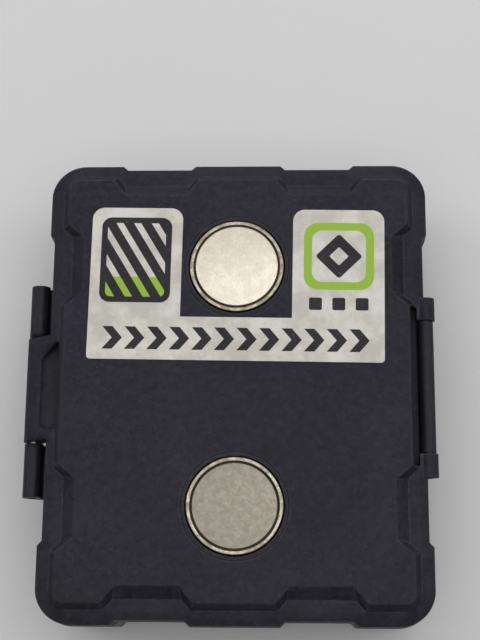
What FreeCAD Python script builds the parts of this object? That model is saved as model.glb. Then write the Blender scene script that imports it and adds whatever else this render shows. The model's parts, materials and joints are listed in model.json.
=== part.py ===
import FreeCAD, Part
import math
import os
import Sketcher

os.makedirs("parts", exist_ok=True)

Vector = FreeCAD.Vector
Rotation = FreeCAD.Rotation
doc = FreeCAD.newDocument("MagneticKeyBox")
sheet = doc.addObject("Spreadsheet::Sheet", "Sizes")

# Driving sizes in millimetres (angles in degrees).
# X runs from the hinge to the latch, Y along the hinge, Z from the tray's base to the magnets.
drivingSizes = [
    ("boxWidth", 89.6, "across the side bumpers at the parting line"),
    ("boxLength", 108.6, "across the end bumpers at the parting line"),
    ("boxHeight", 33.0, "tray base to the cover's raised panel"),
    ("coverHeight", 9.5, "parting line to the cover's raised panel"),
    ("coverDraft", 1.0, "draft of the cover's outer walls, in degrees"),
    ("trayDraft", 2.5, "draft of the tray's outer walls, in degrees"),
    ("cornerRadius", 8.2, "plan radius of the four box corners"),
    ("rimRound", 1.0, "rounding of the tray's outer rim edge"),
    ("bumperProud", 1.1, "how far the bumpers stand out of the walls"),
    ("endRecessStart", 10.2, "end wall recess, nearest point to the centre line"),
    ("endRecessStop", 27.6, "end wall recess, farthest point from the centre line"),
    ("sideRecessStop", 36.7, "side wall recess, half length"),
    ("plateauInset", 3.3, "outer outline to the foot of the raised panel"),
    ("rimShelf", 0.1, "level strip round the foot of the raised panel"),
    ("rimDrop", 1.2, "how far the rim slopes down from that strip to the outline"),
    ("roofReach", 1.5, "sloping rim before its trimming to the walls, in rim widths"),
    ("plateauRise", 2.3, "raised panel above the rim"),
    ("plateauWallRun", 1.5, "plan width of the raised panel's sloping edge"),
    ("plateauCorner", 3.6, "plan radius of the raised panel's corners"),
    ("plateauEdge", 0.35, "rounding of the raised panel's upper edge"),
    ("notchDepth", 3.9, "notch depth from the panel's upper edge"),
    ("notchBackRun", 3.0, "plan width of the notch's gentle back slope"),
    ("notchFlare", 3.3, "how much each notch narrows towards its back"),
    ("notchFlankRun", 1.9, "plan width of the notch's steep flanks"),
    ("endNotchStart", 9.0, "end notch mouth, nearest point to the centre line"),
    ("endNotchStop", 29.7, "end notch mouth, farthest point"),
    ("sideNotchStart", 18.6, "side notch mouth, nearest point to the centre line"),
    ("sideNotchStop", 38.6, "side notch mouth, farthest point"),
    ("coverTop", 2.6, "thickness of the cover's top"),
    ("trayFloor", 3.0, "thickness of the tray's floor"),
    ("coverWall", 6.0, "outer outline to the cover's inner rib face"),
    ("cavityCorner", 5.0, "plan radius of the cover's inner corners"),
    ("cavityRound", 3.0, "rounding where walls meet the floor or the top"),
    ("sealRib", 1.0, "thickness of the cover's inner seal rib"),
    ("sealWidth", 1.8, "width of the seal groove"),
    ("sealHeight", 1.4, "height of the rubber seal"),
    ("sealSideGap", 0.04, "seal to groove wall"),
    ("wallRoot", 0.4, "how far lugs and leaf stay clear of the seal groove inside the wall"),
    ("tongueHeight", 1.0, "tray tongue above the parting line"),
    ("tongueGap", 0.25, "tray tongue to groove wall"),
    ("hingeWallGap", 1.45, "outer knuckles to the recessed wall beside them"),
    ("hingeAxisRise", 0.5, "hinge axis above the parting line"),
    ("hingeRadius", 2.2, "radius of the tray's hinge knuckles"),
    ("leafRadius", 2.45, "radius of the cover's hinge knuckle"),
    ("leafInset", 1.0, "upper edge of the leaf inside the recessed wall"),
    ("leafTurn", 125.0, "where the leaf's slope leaves the knuckle, in degrees from +X"),
    ("hingeHalf", 25.3, "half length of the whole hinge"),
    ("hingeMiddleHalf", 12.3, "half length of the cover's knuckle"),
    ("hingeEndGap", 0.5, "gap between knuckles"),
    ("hingeArmDrop", 6.5, "hinge axis to the foot of the tray's hinge arms"),
    ("armTopTurn", -50.0, "where the arm's level top meets the knuckle, in degrees from +X"),
    ("armFootTurn", 210.0, "where the arm's slope meets the knuckle, in degrees from +X"),
    ("hingePinRadius", 1.0, "hinge pin"),
    ("hingePinInset", 0.6, "pin end inside the knuckle's end"),
    ("scoopLip", 1.65, "hinge axis to the finger scoop's outer edge"),
    ("scoopHalf", 10.3, "half length of the scoop"),
    ("scoopDepth", 3.4, "scoop floor below the panel's foot"),
    ("scoopCut", 3.6, "diagonal cut of the scoop's far corner"),
    ("scoopRound", 2.6, "rounding of the scoop's near corner"),
    ("scoopBite", 0.1, "how far the scoop reaches into the panel's foot"),
    ("latchAxisInset", 0.75, "latch axis inside the bumper outline"),
    ("lugRadius", 2.15, "radius of the latch lugs"),
    ("lugRise", 0.3, "top of the latch lugs above the panel's foot"),
    ("lugHalf", 21.0, "half length over both lugs"),
    ("gussetRoot", 0.3, "foot of the lug gussets inside the recessed wall"),
    ("latchHalf", 15.4, "half length of the latch lever"),
    ("latchEndGap", 0.25, "latch lever to lug"),
    ("latchBarrel", 1.75, "radius of the latch lever's barrel"),
    ("latchPlate", 2.0, "thickness of the latch lever"),
    ("neckTurn", 240.0, "where the lever's neck leaves the barrel, in degrees from +X"),
    ("leverNeck", 0.6, "barrel to the lever's flat inner face"),
    ("latchWallGap", 0.4, "latch lever to the cover wall behind it"),
    ("latchSlotHalf", 18.6, "half length of the slot behind the latch"),
    ("latchSlotInset", 0.3, "slot face outside the raised panel's upper edge"),
    ("latchSlotDepth", 3.1, "slot floor below the panel's foot"),
    ("shelfRise", 0.5, "shelf behind the lever above the barrel's underside"),
    ("shelfDrop", 0.4, "foot of that shelf below the lugs"),
    ("pocketReach", 5.0, "how far outside the outline the latch pocket is cut"),
    ("latchPinRadius", 0.9, "latch pin"),
    ("latchPinInset", 0.6, "latch pin end inside the lug's end"),
    ("catchDrop", 5.0, "parting line to the top of the tray's catch"),
    ("catchHeight", 1.5, "height of the catch"),
    ("catchGap", 0.3, "catch to the latch lever"),
    ("catchLead", 0.6, "rise of the slope above the catch"),
    ("hookGap", 0.2, "catch to the hook below it"),
    ("hookGrip", 0.8, "how far the hook reaches under the catch"),
    ("hookHeight", 1.8, "height of the hook"),
    ("hookWallGap", 0.4, "hook tip to the tray wall"),
    ("hookFootGap", 1.2, "hook to the foot of the tray's latch pocket"),
    ("hookFootFall", 3.0, "fall of that foot towards the outside"),
    ("fingerLip", 1.4, "how far the finger lip stands out of the lever"),
    ("fingerLipHeight", 2.4, "height of the finger lip"),
    ("lipDrop", 0.6, "top of the finger lip below the catch"),
    ("lipShoulder", 0.6, "rise of the slope above the finger lip"),
    ("lipBevelRun", 0.3, "bevel under the finger lip, outward"),
    ("lipBevelRise", 0.4, "bevel under the finger lip, upward"),
    ("pressGap", 0.02, "radial gap of a pin in the knuckles that hold it"),
    ("runGap", 0.06, "radial gap of a pin in the knuckles that turn on it"),
    ("magnetPlace", 28.0, "magnet centres from the box centre, along Y"),
    ("cupRadius", 11.0, "radius of the steel magnet cups"),
    ("cupHeight", 5.5, "height of the cups"),
    ("cupProud", 0.3, "cups above the raised panel"),
    ("cupWall", 0.9, "wall of the cups"),
    ("cupBase", 1.6, "base of the cups"),
    ("cupEdge", 0.3, "rounding of the cup rims"),
    ("cupGap", 0.3, "cup to the plastic socket"),
    ("discGap", 0.45, "magnet disc to cup wall, filled by the bond ring"),
    ("discSunk", 0.0, "magnet disc below the cup rim"),
    ("bondSunk", 0.5, "bond ring below the cup rim"),
    ("bondSideGap", 0.02, "bond ring to its neighbours"),
    ("pinBevel", 0.25, "bevel on the pin ends, as a share of the pin's radius"),
    ("collarGap", 1.2, "cup to the fine groove round each magnet socket"),
    ("collarGroove", 0.25, "width and depth of that groove"),
    ("socketWall", 1.7, "wall of the magnet sockets inside the cover"),
    ("socketFloor", 1.5, "floor of the magnet sockets"),
    ("screwRadius", 1.5, "magnet screws"),
    ("screwHole", 1.7, "screw hole in the socket floor"),
    ("screwHeadRadius", 2.75, "screw head"),
    ("screwHeadHeight", 1.7, "screw head"),
    ("screwGrip", 1.4, "screw length inside the cup's base"),
    ("screwSlot", 0.7, "width of the cross recess"),
    ("screwSlotDepth", 0.9, "depth of the cross recess"),
    ("screwSlotLength", 3.4, "length of the cross recess"),
    ("washerRadius", 3.6, "washer under each screw head"),
    ("washerHeight", 0.5, "washer"),
    ("labelMargin", 5.6, "sticker to the panel's upper side edges"),
    ("labelFarReach", 14.1, "magnet centre to the sticker's far edge"),
    ("labelNearReach", 22.7, "magnet centre to the sticker's near edge"),
    ("labelSideGap", 0.8, "fine groove to the sticker beside the magnet"),
    ("labelNearGap", 0.2, "fine groove to the sticker before the magnet"),
    ("labelRadius", 2.8, "radius of the sticker's far corners"),
    ("labelSmallRadius", 0.9, "radius of its other corners"),
    ("labelFilm", 0.12, "thickness of the sticker"),
    ("labelTurn", -0.8, "the sticker sits a little crooked, in degrees"),
    ("cutPast", 1.0, "how far a cut is carried past what it cuts"),
]
for row, (alias, number, note) in enumerate(drivingSizes, start=1):
    sheet.set(f"A{row}", alias)
    sheet.set(f"B{row}", str(number))
    sheet.set(f"C{row}", note)
    sheet.setAlias(f"B{row}", alias)
doc.recompute()


# A size is a number together with the sheet formula that it comes from.
class Size:
    def __init__(self, text, number):
        self.text = text
        self.number = number

    def __add__(self, other):
        other = asSize(other)
        return Size(f"({self.text} + {other.text})", self.number + other.number)

    def __sub__(self, other):
        other = asSize(other)
        return Size(f"({self.text} - {other.text})", self.number - other.number)

    def __mul__(self, other):
        other = asSize(other)
        return Size(f"({self.text} * {other.text})", self.number * other.number)

    def __truediv__(self, other):
        other = asSize(other)
        return Size(f"({self.text} / {other.text})", self.number / other.number)

    def __neg__(self):
        return Size(f"(-1 * {self.text})", -self.number)


def asSize(value):
    if isinstance(value, Size):
        return value
    return Size(repr(float(value)), float(value))


def sized(alias):
    return Size(f"Sizes.{alias}", float(sheet.get(alias)))


def slopeAngle(run, rise):
    return Size(f"(atan({run.text} / {rise.text}))", math.degrees(math.atan(run.number / rise.number)))


def onCircle(x, z, radius, turn):
    # The point of a circle in an XZ profile at an angle from +X.
    angle = math.radians(turn.number)
    across = Size(f"cos({turn.text})", math.cos(angle))
    upward = Size(f"sin({turn.text})", math.sin(angle))
    return x + radius * across, z + radius * upward


S = {alias: sized(alias) for alias, number, note in drivingSizes}

# Levels and outlines that more than one piece uses.
halfWidth = S["boxWidth"] / 2
halfLength = S["boxLength"] / 2
topLevel = S["boxHeight"]
rimLevel = topLevel - S["plateauRise"]
partLevel = topLevel - S["coverHeight"]
trayRimLevel = S["plateauRise"]
panelFootX = halfWidth - S["plateauInset"]
panelFootY = halfLength - S["plateauInset"]
recessX = halfWidth - S["bumperProud"]
rimRun = S["plateauInset"] - S["rimShelf"]
hingeX = -(recessX + S["hingeWallGap"] + S["hingeRadius"])
hingeZ = partLevel + S["hingeAxisRise"]
hingeArmInner = S["hingeMiddleHalf"] + S["hingeEndGap"]
latchX = halfWidth - S["latchAxisInset"]
latchZ = rimLevel + S["lugRise"] - S["lugRadius"]
leverOuterX = latchX + S["latchBarrel"]
leverInnerX = leverOuterX - S["latchPlate"]
pocketHalf = S["latchHalf"] + S["latchEndGap"]
pocketWallX = leverInnerX - S["latchWallGap"]
catchTop = partLevel - S["catchDrop"]
catchBottom = catchTop - S["catchHeight"]
catchX = leverInnerX - S["catchGap"]
hookTop = catchBottom - S["hookGap"]
hookTipX = catchX - S["hookGrip"]
trayPocketX = hookTipX - S["hookWallGap"]
hookBottom = hookTop - S["hookHeight"]
cupTop = topLevel + S["cupProud"]
cupBottom = cupTop - S["cupHeight"]
socketBottom = cupBottom - S["socketFloor"]
grooveInset = S["coverWall"] - S["sealRib"]
grooveOuterInset = grooveInset - S["sealWidth"]
tongueInnerInset = grooveInset - S["tongueGap"]
tongueOuterInset = grooveOuterInset + S["tongueGap"]
sealBase = partLevel + S["tongueHeight"]
grooveTop = sealBase + S["sealHeight"]
collarRadius = S["cupRadius"] + S["collarGap"]


def bind(target, prop, size):
    target.setExpression(prop, asSize(size).text)


def planeOf(body, role):
    return [item for item in body.Origin.OriginFeatures if item.Role == role][0]


def newBody(name):
    body = doc.addObject("PartDesign::Body", name)
    body.Label = name
    return body


def newSketch(body, name, role, offset):
    sketch = body.newObject("Sketcher::SketchObject", name)
    sketch.AttachmentSupport = [(planeOf(body, role), "")]
    sketch.MapMode = "FlatFace"
    bind(sketch, "AttachmentOffset.Base.z", offset)
    return sketch


def pinPoint(sketch, element, corner, x, y):
    # Holds one end (or centre) of an element at x and y, each bound to its formula.
    for kind, size in (("DistanceX", x), ("DistanceY", y)):
        if size is None:
            continue
        size = asSize(size)
        index = sketch.addConstraint(Sketcher.Constraint(kind, -1, 1, element, corner, size.number))
        sketch.setExpression(f"Constraints[{index}]", size.text)


def closedLoop(sketch, points):
    # A counter-clockwise loop. Two neighbours that share a centre are joined by an arc about it.
    count = len(points)
    first = len(sketch.Geometry)
    for index in range(count):
        start = points[index]
        stop = points[(index + 1) % count]
        here = Vector(start[0].number, start[1].number, 0)
        there = Vector(stop[0].number, stop[1].number, 0)
        if arcBetween(start, stop):
            centre = Vector(start[2][0].number, start[2][1].number, 0)
            radius = (here - centre).Length
            angles = [math.atan2(p.y - centre.y, p.x - centre.x) for p in (here, there)]
            circle = Part.Circle(centre, Vector(0, 0, 1), radius)
            sketch.addGeometry(Part.ArcOfCircle(circle, angles[0], angles[1]))
        else:
            sketch.addGeometry(Part.LineSegment(here, there))
    for index in range(count):
        start = points[index]
        after = (index + 1) % count
        sketch.addConstraint(Sketcher.Constraint("Coincident", first + index, 2, first + after, 1))
        pinPoint(sketch, first + index, 1, start[0], start[1])
        if arcBetween(start, points[after]):
            pinPoint(sketch, first + index, 3, start[2][0], None)


def arcBetween(start, stop):
    if len(start) < 3 or len(stop) < 3:
        return False
    return start[2] is not None and start[2] is stop[2]


def mirrored(points, flipX, flipY):
    # The same points on the other side of one axis or of both. Centres stay shared.
    centres = {}
    result = []
    for point in points:
        x = -point[0] if flipX else point[0]
        y = -point[1] if flipY else point[1]
        centre = None
        if len(point) > 2 and point[2] is not None:
            key = id(point[2])
            if key not in centres:
                centreX = -point[2][0] if flipX else point[2][0]
                centreY = -point[2][1] if flipY else point[2][1]
                centres[key] = (centreX, centreY)
            centre = centres[key]
        result.append((x, y, centre))
    if flipX != flipY:
        result.reverse()
    return result


def fourfold(quadrant):
    return (quadrant + mirrored(quadrant, True, False)
            + mirrored(quadrant, True, True) + mirrored(quadrant, False, True))


def roundedRectangle(halfX, halfY, radius):
    centre = (halfX - radius, halfY - radius)
    return fourfold([(halfX, halfY - radius, centre), (halfX - radius, halfY, centre)])


def bumperOutline():
    proud = S["bumperProud"]
    radius = S["cornerRadius"]
    centre = (halfWidth - radius, halfLength - radius)
    return fourfold([
        (halfWidth - proud, S["sideRecessStop"] - proud),
        (halfWidth, S["sideRecessStop"]),
        (halfWidth, halfLength - radius, centre),
        (halfWidth - radius, halfLength, centre),
        (S["endRecessStop"], halfLength),
        (S["endRecessStop"] - proud, halfLength - proud),
        (S["endRecessStart"] + proud, halfLength - proud),
        (S["endRecessStart"], halfLength),
    ])


def addPad(body, name, sketch, length, taper=None, symmetric=False, downward=False):
    pad = body.newObject("PartDesign::Pad", name)
    pad.Profile = sketch
    bind(pad, "Length", length)
    if taper is not None:
        bind(pad, "TaperAngle", taper)
    if symmetric:
        pad.SideType = "Symmetric"
    pad.Reversed = downward
    return finished(body, pad, +1)


def addPocket(body, name, sketch, length, symmetric=False, upward=False):
    pocket = body.newObject("PartDesign::Pocket", name)
    pocket.Profile = sketch
    bind(pocket, "Length", length)
    if symmetric:
        pocket.SideType = "Symmetric"
    pocket.Reversed = upward
    return finished(body, pocket, -1)


def addCylinder(body, name, sign, radius, length, place, along="Z"):
    kind = "Additive" if sign > 0 else "Subtractive"
    shape = body.newObject(f"PartDesign::{kind}Cylinder", name)
    bind(shape, "Radius", radius)
    bind(shape, "Height", length)
    turn = Rotation(Vector(1, 0, 0), -90) if along == "Y" else Rotation()
    shape.Placement = FreeCAD.Placement(Vector(0, 0, 0), turn)
    bindPlace(shape, place)
    return finished(body, shape, sign)


def addBox(body, name, sign, low, high):
    kind = "Additive" if sign > 0 else "Subtractive"
    shape = body.newObject(f"PartDesign::{kind}Box", name)
    for prop, start, stop in zip(("Length", "Width", "Height"), low, high):
        bind(shape, prop, asSize(stop) - start)
    bindPlace(shape, low)
    return finished(body, shape, sign)


def bindPlace(shape, place):
    for axis, size in zip("xyz", place):
        bind(shape, f"Placement.Base.{axis}", size)


def addFillet(body, name, radius, chosen):
    # Rounds the edges of the body so far that the chosen test accepts.
    return softened(body, "PartDesign::Fillet", name, "Radius", radius, chosen)


def addChamfer(body, name, size, chosen):
    # Bevels the edges of the body so far that the chosen test accepts.
    return softened(body, "PartDesign::Chamfer", name, "Size", size, chosen)


def softened(body, kind, name, prop, size, chosen):
    base = body.Tip
    names = [f"Edge{index}" for index, edge in enumerate(base.Shape.Edges, start=1) if chosen(edge)]
    if not names:
        raise RuntimeError(f"{name} found no edge")
    feature = body.newObject(kind, name)
    feature.Base = (base, names)
    bind(feature, prop, size)
    return finished(body, feature, 0)


volumes = {}


def finished(body, feature, sign):
    # Recomputes one feature and stops if it failed or if it added or cut nothing.
    before = volumes.get(body.Name, 0.0)
    doc.recompute()
    after = body.Shape.Volume
    if "Invalid" in feature.State or "Error" in feature.State:
        raise RuntimeError(f"{feature.Label} failed: {feature.State}")
    if sign * (after - before) < 0 or (sign and abs(after - before) < 1e-4):
        raise RuntimeError(f"{feature.Label} changed the volume from {before} to {after}")
    volumes[body.Name] = after
    return feature


def levelEdges(level):
    def test(edge):
        return all(abs(vertex.Point.z - level) < 1e-4 for vertex in edge.Vertexes)
    return test


# The raised panel with its eight notches is the same on the cover and under the tray.
def notchCorners(start, stop, edge, upper):
    # Four corners of one notch at its upper or lower level: u runs along the wall, v out of it.
    lead = S["plateauWallRun"] + S["cutPast"]
    slant = S["notchFlare"] / S["notchDepth"]
    outer = edge + lead
    if upper:
        back = edge - S["notchDepth"]
        shift = asSize(0)
    else:
        back = edge - S["notchDepth"] + S["notchBackRun"]
        shift = S["notchFlankRun"]
    innerStep = slant * (edge - back) + shift
    outerStep = shift - slant * lead
    return [(start + outerStep, outer), (start + innerStep, back),
            (stop - innerStep, back), (stop - outerStep, outer)]


def notchTool(start, stop, edge, base, outer, ends):
    # A solid with flat faces that cuts one notch: its lower and upper outlines and the slopes between.
    rings = []
    for upper, level in ((False, base), (True, outer)):
        corners = [(u.number, v.number) for u, v in notchCorners(start, stop, edge, upper)]
        rings.append([Vector(*((u, v) if ends else (v, u)), level.number) for u, v in corners])
    faces = [Part.Face(Part.makePolygon(ring + ring[:1])) for ring in rings]
    for index in range(4):
        after = (index + 1) % 4
        corners = [rings[0][index], rings[0][after], rings[1][after], rings[1][index]]
        faces.append(Part.Face(Part.makePolygon(corners + corners[:1])))
    return Part.makeSolid(Part.makeShell(faces))


def notchTools(name, base, outer):
    # Four notches in the end walls and four in the side walls, mirrored about both middle planes.
    tools = []
    for ends in (True, False):
        if ends:
            start, stop, edge = S["endNotchStart"], S["endNotchStop"], panelFootY - S["plateauWallRun"]
        else:
            start, stop, edge = S["sideNotchStart"], S["sideNotchStop"], panelFootX - S["plateauWallRun"]
        tool = notchTool(start, stop, edge, base, outer, ends)
        across = tool.mirror(Vector(0, 0, 0), Vector(1, 0, 0))
        tools += [tool, across]
        tools += [item.mirror(Vector(0, 0, 0), Vector(0, 1, 0)) for item in (tool, across)]
    feature = doc.addObject("Part::Feature", name)
    feature.Shape = Part.makeCompound(tools)
    return feature


def rimAt(inset):
    # Height of the cover's sloping rim at a distance inside the outer outline.
    return rimLevel - S["rimDrop"] * (rimRun - inset) / rimRun


def addWalls(body, name, side, length):
    # The drafted block with bumpers, from the parting line to the rim.
    sketch = newSketch(body, f"{name}_outline", "XY_Plane", partLevel)
    closedLoop(sketch, bumperOutline())
    draft = S["coverDraft"] if side > 0 else S["trayDraft"]
    addPad(body, f"{name}_walls", sketch, length, taper=-draft, downward=side < 0)


def slopingBlock(name, base, length):
    # The cover's block, cut by a roof so that its rim slopes down outward.
    block = newBody(f"{name}_block")
    addWalls(block, name, +1, length)
    run = rimRun * S["roofReach"]
    drop = S["rimDrop"] * S["roofReach"]
    eaves = run - rimRun
    roof = newBody(f"{name}_roof")
    for part, level, height, taper in (("eaves", partLevel, length - drop, None),
                                       ("slope", base - drop, drop, -slopeAngle(run, drop))):
        sketch = newSketch(roof, f"{name}_{part}_outline", "XY_Plane", level)
        closedLoop(sketch, roundedRectangle(halfWidth + eaves, halfLength + eaves, S["cornerRadius"] + eaves))
        addPad(roof, f"{name}_{part}", sketch, height, taper=taper)

    sloping = doc.addObject("Part::Common", f"{name}_sloping")
    sloping.Base = block
    sloping.Tool = roof
    doc.recompute()
    if sloping.Shape.isNull() or sloping.Shape.Volume > block.Shape.Volume - 1:
        raise RuntimeError(f"{name} has no sloping rim")
    return sloping


def addPanel(body, name, side, base, sink):
    # The raised panel. It starts as far below the rim as sink says, so that its corners meet the slope.
    spread = S["plateauWallRun"] * sink / S["plateauRise"]
    sketch = newSketch(body, f"{name}_panel_outline", "XY_Plane", base - sink)
    closedLoop(sketch, roundedRectangle(panelFootX + spread, panelFootY + spread, S["plateauCorner"] + spread))
    taper = -slopeAngle(S["plateauWallRun"], S["plateauRise"])
    addPad(body, f"{name}_panel", sketch, S["plateauRise"] + sink, taper=taper, downward=side < 0)


def newShell(name, side):
    # A block with the notched panel on it. The cover's rim slopes; the tray's is level and rounded.
    # side is +1 for the cover, whose panel points up, and -1 for the tray, whose panel is its base.
    base = rimLevel if side > 0 else trayRimLevel
    outer = topLevel if side > 0 else asSize(0)
    blank = newBody(f"{name}_blank")
    if side > 0:
        blank.BaseFeature = slopingBlock(name, base, rimLevel - partLevel)
        doc.recompute()
        volumes[blank.Name] = blank.Shape.Volume
        addPanel(blank, name, side, base, S["rimDrop"] / 2)
    else:
        addWalls(blank, name, side, partLevel - trayRimLevel)
        addFillet(blank, f"{name}_rim_round", S["rimRound"], levelEdges(base.number))
        addPanel(blank, name, side, base, asSize(0))

    notched = doc.addObject("Part::Cut", f"{name}_notched")
    notched.Base = blank
    notched.Tool = notchTools(f"{name}_notches", base, outer)
    doc.recompute()
    if notched.Shape.Volume > blank.Shape.Volume - 1:
        raise RuntimeError(f"{name} has no notches")
    shell = newBody(name)
    shell.BaseFeature = notched
    doc.recompute()
    volumes[shell.Name] = shell.Shape.Volume
    addFillet(shell, f"{name}_panel_edge", S["plateauEdge"], levelEdges(outer.number))
    return shell


def hollow(body, inset, radius, depth, side):
    sketch = newSketch(body, f"{body.Name}_cavity_outline", "XY_Plane", partLevel)
    closedLoop(sketch, roundedRectangle(halfWidth - inset, halfLength - inset, radius))
    addPocket(body, f"{body.Name}_cavity", sketch, depth, upward=side > 0)
    level = (partLevel + depth if side > 0 else partLevel - depth).number
    inside = (halfWidth - inset / 2).number
    addFillet(body, f"{body.Name}_cavity_round", S["cavityRound"],
              lambda edge: levelEdges(level)(edge) and edge.BoundBox.XMax < inside)


def buildCover():
    body = newShell("cover_shell", +1)
    depth = topLevel - S["coverTop"] - partLevel
    hollow(body, S["coverWall"], S["cavityCorner"], depth, +1)

    # Seal groove in the parting face.
    sketch = newSketch(body, "cover_seal_groove_outline", "XY_Plane", partLevel)
    for inset in (grooveOuterInset, grooveInset):
        radius = S["cavityCorner"] + S["coverWall"] - inset
        closedLoop(sketch, roundedRectangle(halfWidth - inset, halfLength - inset, radius))
    addPocket(body, "cover_seal_groove", sketch, S["tongueHeight"] + S["sealHeight"], upward=True)

    # Two sockets carry the magnets from inside; a fine groove runs round each on the face.
    for name, place in (("far", S["magnetPlace"]), ("near", -S["magnetPlace"])):
        socketRadius = S["cupRadius"] + S["cupGap"]
        wallTop = topLevel - S["coverTop"] / 2
        grooveBase = topLevel - S["collarGroove"]
        addCylinder(body, f"{name}_collar_groove", -1, collarRadius + S["collarGroove"] / 2, S["cutPast"],
                    (0, place, grooveBase))
        addCylinder(body, f"{name}_collar", +1, collarRadius - S["collarGroove"] / 2, S["collarGroove"],
                    (0, place, grooveBase))
        addCylinder(body, f"{name}_socket", +1, socketRadius + S["socketWall"],
                    wallTop - socketBottom, (0, place, socketBottom))
        addCylinder(body, f"{name}_socket_bore", -1, socketRadius, S["cupHeight"] + S["cutPast"],
                    (0, place, cupBottom))
        addCylinder(body, f"{name}_screw_hole", -1, S["screwHole"], S["socketFloor"] + S["cutPast"] * 2,
                    (0, place, socketBottom - S["cutPast"]))

    # Latch lugs: half round, with a gusset down the wall.
    lugLeft = latchX - S["lugRadius"]
    lugFoot = grooveTop + S["wallRoot"]
    centre = (latchX, latchZ)
    sketch = newSketch(body, "lug_profile", "XZ_Plane", 0)
    closedLoop(sketch, [
        (latchX + S["lugRadius"], latchZ, centre),
        (latchX, latchZ + S["lugRadius"], centre),
        (lugLeft, latchZ, centre),
        (lugLeft, lugFoot),
        (recessX - S["gussetRoot"], lugFoot),
    ])
    addPad(body, "latch_lugs", sketch, S["lugHalf"] * 2, symmetric=True)
    outside = halfWidth + S["pocketReach"]
    sketch = newSketch(body, "latch_pocket_profile", "XZ_Plane", 0)
    closedLoop(sketch, [
        (pocketWallX, partLevel - S["cutPast"]),
        (outside, partLevel - S["cutPast"]),
        (outside, topLevel + S["cutPast"]),
        (lugLeft, topLevel + S["cutPast"]),
        (lugLeft, latchZ - S["latchBarrel"] + S["shelfRise"]),
        (pocketWallX, latchZ - S["lugRadius"] - S["shelfDrop"]),
    ])
    addPocket(body, "latch_pocket", sketch, pocketHalf * 2, symmetric=True)
    slotX = panelFootX - S["plateauWallRun"] + S["latchSlotInset"]
    addBox(body, "latch_slot", -1, (slotX, -S["latchSlotHalf"], rimLevel - S["latchSlotDepth"]),
           (lugLeft, S["latchSlotHalf"], topLevel + S["cutPast"]))
    halfBore = S["lugHalf"] + S["cutPast"]
    addCylinder(body, "latch_pin_bore", -1, S["latchPinRadius"] + S["pressGap"], halfBore * 2,
                (latchX, -halfBore, latchZ), along="Y")

    # The cover's knuckle and the leaf that slopes from the rim down to it.
    middle = (hingeX, hingeZ)
    cornerStep = S["leafRadius"] * math.sqrt(0.5)
    slopeX, slopeZ = onCircle(hingeX, hingeZ, S["leafRadius"], S["leafTurn"])
    topInset = S["bumperProud"] + S["leafInset"]
    rootInset = grooveOuterInset - S["wallRoot"]
    sketch = newSketch(body, "leaf_profile", "XZ_Plane", 0)
    closedLoop(sketch, [
        (slopeX, slopeZ, middle),
        (hingeX - S["leafRadius"], hingeZ, middle),
        (hingeX, hingeZ - S["leafRadius"], middle),
        (hingeX + cornerStep, hingeZ - cornerStep, middle),
        (hingeX + S["leafRadius"], partLevel),
        (rootInset - halfWidth, partLevel),
        (rootInset - halfWidth, rimAt(rootInset)),
        (topInset - halfWidth, rimAt(topInset)),
    ])
    addPad(body, "hinge_leaf", sketch, S["hingeMiddleHalf"] * 2, symmetric=True)

    # Finger scoop between the leaf's crest and the panel, with a level floor.
    scoopLeft = hingeX + S["scoopLip"]
    scoopRight = S["scoopBite"] - panelFootX
    cut = S["scoopCut"]
    turn = S["scoopRound"]
    half = S["scoopHalf"]
    nearCentre = (scoopLeft + turn, turn - half)
    scoopFloor = rimLevel - S["scoopDepth"]
    sketch = newSketch(body, "scoop_outline", "XY_Plane", scoopFloor)
    closedLoop(sketch, [
        (scoopRight, -half),
        (scoopRight, half),
        (scoopLeft + cut, half),
        (scoopLeft, half - cut),
        (scoopLeft, turn - half, nearCentre),
        (scoopLeft + turn, -half, nearCentre),
    ])
    addPocket(body, "finger_scoop", sketch, topLevel - scoopFloor, upward=True)
    halfBore = S["hingeMiddleHalf"] + S["hingeEndGap"] / 2
    addCylinder(body, "cover_hinge_bore", -1, S["hingePinRadius"] + S["runGap"], halfBore * 2,
                (hingeX, -halfBore, hingeZ), along="Y")
    return body


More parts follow.
